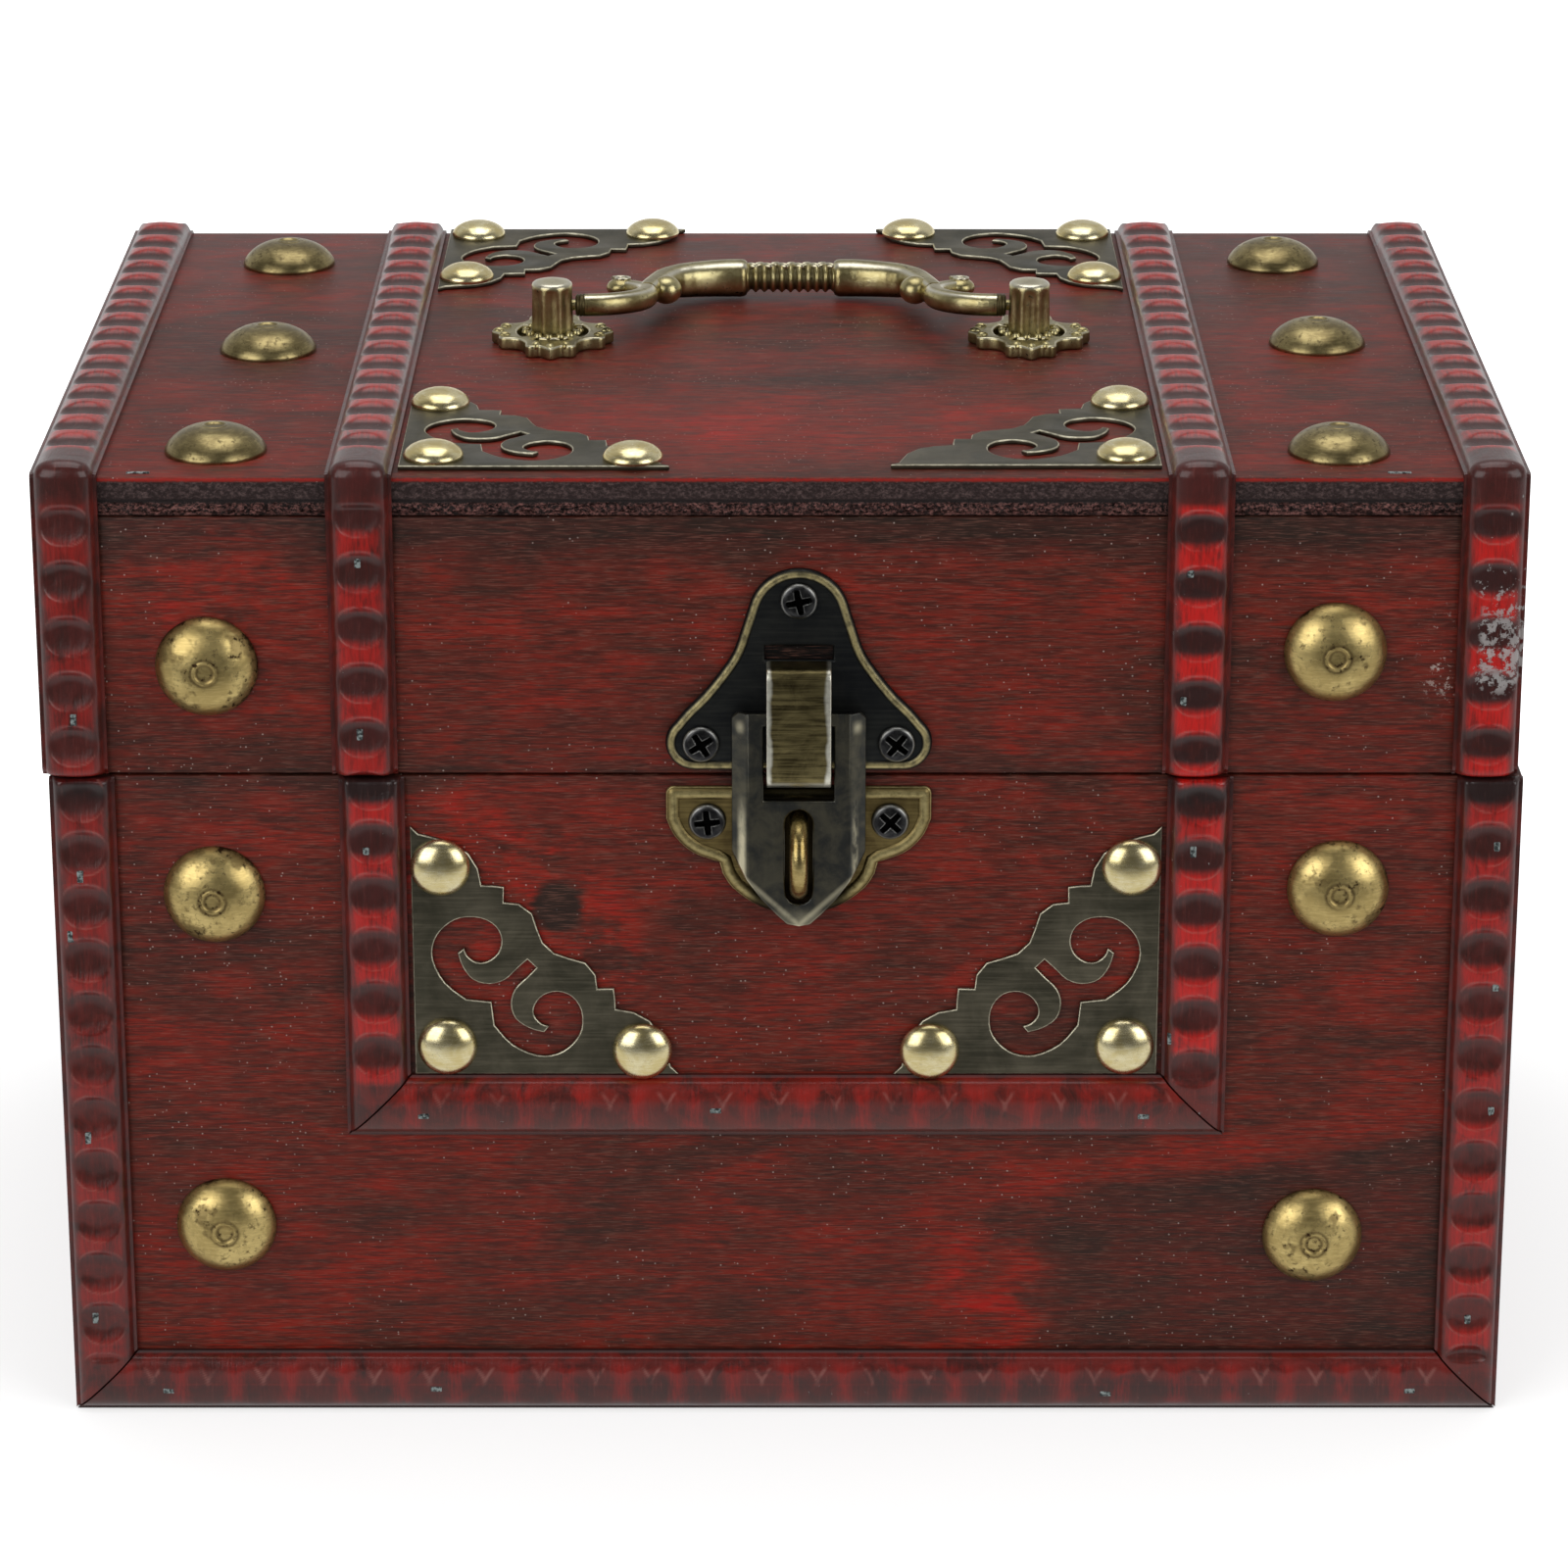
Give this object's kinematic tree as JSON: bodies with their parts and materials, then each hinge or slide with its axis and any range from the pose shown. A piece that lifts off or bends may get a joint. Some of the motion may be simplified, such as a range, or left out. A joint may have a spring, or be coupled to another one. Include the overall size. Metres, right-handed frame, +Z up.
{
  "type": "wooden storage box",
  "caption": "Red stained wooden treasure-chest box with a hinged lid, pressed mouldings, brass studs, pierced corner plates, a hasp latch and a bail handle.",
  "frame": {"origin": "middle of the outer box of the closed chest in X and Y, on the surface that it stands on", "axes": "+X to the chest's right seen from the front, +Y to its back, +Z up; the latch faces -Y"},
  "size_m": [0.2258, 0.1656, 0.1641],
  "materials": {
    "stained_wood": "deep red stain, satin",
    "moulding_wood": "deep red stain with dark hollows, semi-gloss",
    "stud_brass": "antique brass, satin",
    "dark_bronze": "dark antique bronze, brushed",
    "latch_bronze": "dark antique bronze with rubbed bright edges",
    "catch_brass": "antique brass, satin",
    "handle_brass": "antique brass with dark hollows",
    "hinge_brass": "antique brass, satin"
  },
  "bodies": {
    "case": {"case_front": "stained_wood", "case_back": "stained_wood", "case_left": "stained_wood", "case_right": "stained_wood", "case_bottom": "stained_wood", "case_moulding_left": "moulding_wood", "case_moulding_right": "moulding_wood", "case_moulding_base": "moulding_wood", "case_frame_left": "moulding_wood", "case_frame_right": "moulding_wood", "case_frame_base": "moulding_wood", "case_stud_upper_left": "stud_brass", "case_stud_upper_right": "stud_brass", "case_stud_lower_left": "stud_brass", "case_stud_lower_right": "stud_brass", "case_corner_plate_left": "dark_bronze", "case_corner_plate_right": "dark_bronze", "catch_plate": "catch_brass", "staple": "catch_brass", "case_hinge_leaf_left": "hinge_brass", "case_hinge_leaf_right": "hinge_brass", "hinge_pin_left": "hinge_brass", "hinge_pin_right": "hinge_brass"},
    "lid": {"lid_top": "stained_wood", "lid_front": "stained_wood", "lid_back": "stained_wood", "lid_left": "stained_wood", "lid_right": "stained_wood", "lid_moulding_outer_left": "moulding_wood", "lid_moulding_outer_right": "moulding_wood", "lid_moulding_inner_left": "moulding_wood", "lid_moulding_inner_right": "moulding_wood", "top_moulding_outer_left": "moulding_wood", "top_moulding_outer_right": "moulding_wood", "top_moulding_inner_left": "moulding_wood", "top_moulding_inner_right": "moulding_wood", "lid_stud_left": "stud_brass", "lid_stud_right": "stud_brass", "top_stud_front_left": "stud_brass", "top_stud_front_right": "stud_brass", "top_stud_middle_left": "stud_brass", "top_stud_middle_right": "stud_brass", "top_stud_rear_left": "stud_brass", "top_stud_rear_right": "stud_brass", "top_corner_plate_front_left": "dark_bronze", "top_corner_plate_front_right": "dark_bronze", "top_corner_plate_rear_left": "dark_bronze", "top_corner_plate_rear_right": "dark_bronze", "latch_plate": "latch_bronze", "handle_post_left": "handle_brass", "handle_post_right": "handle_brass", "handle_screw_left": "stud_brass", "handle_screw_right": "stud_brass", "lid_hinge_leaf_left": "hinge_brass", "lid_hinge_leaf_right": "hinge_brass"},
    "hasp": {"hasp": "latch_bronze"},
    "bail": {"bail": "handle_brass"}
  },
  "joints": [
    {"name": "lid_hinge", "type": "hinge", "parent": "case", "child": "lid", "pos_m": [0, 0.0806, 0.1062], "axis": [-1, 0, 0], "range_deg": [0, 180]},
    {"name": "hasp_swing", "type": "hinge", "parent": "lid", "child": "hasp", "pos_m": [0.0024, -0.077, 0.1163], "axis": [-1, 0, 0], "range_deg": [0, 160]},
    {"name": "bail_swing", "type": "hinge", "parent": "lid", "child": "bail", "pos_m": [0.00125, 0.00445, 0.1597], "axis": [1, 0, 0], "range_deg": [0, 190]}
  ]
}
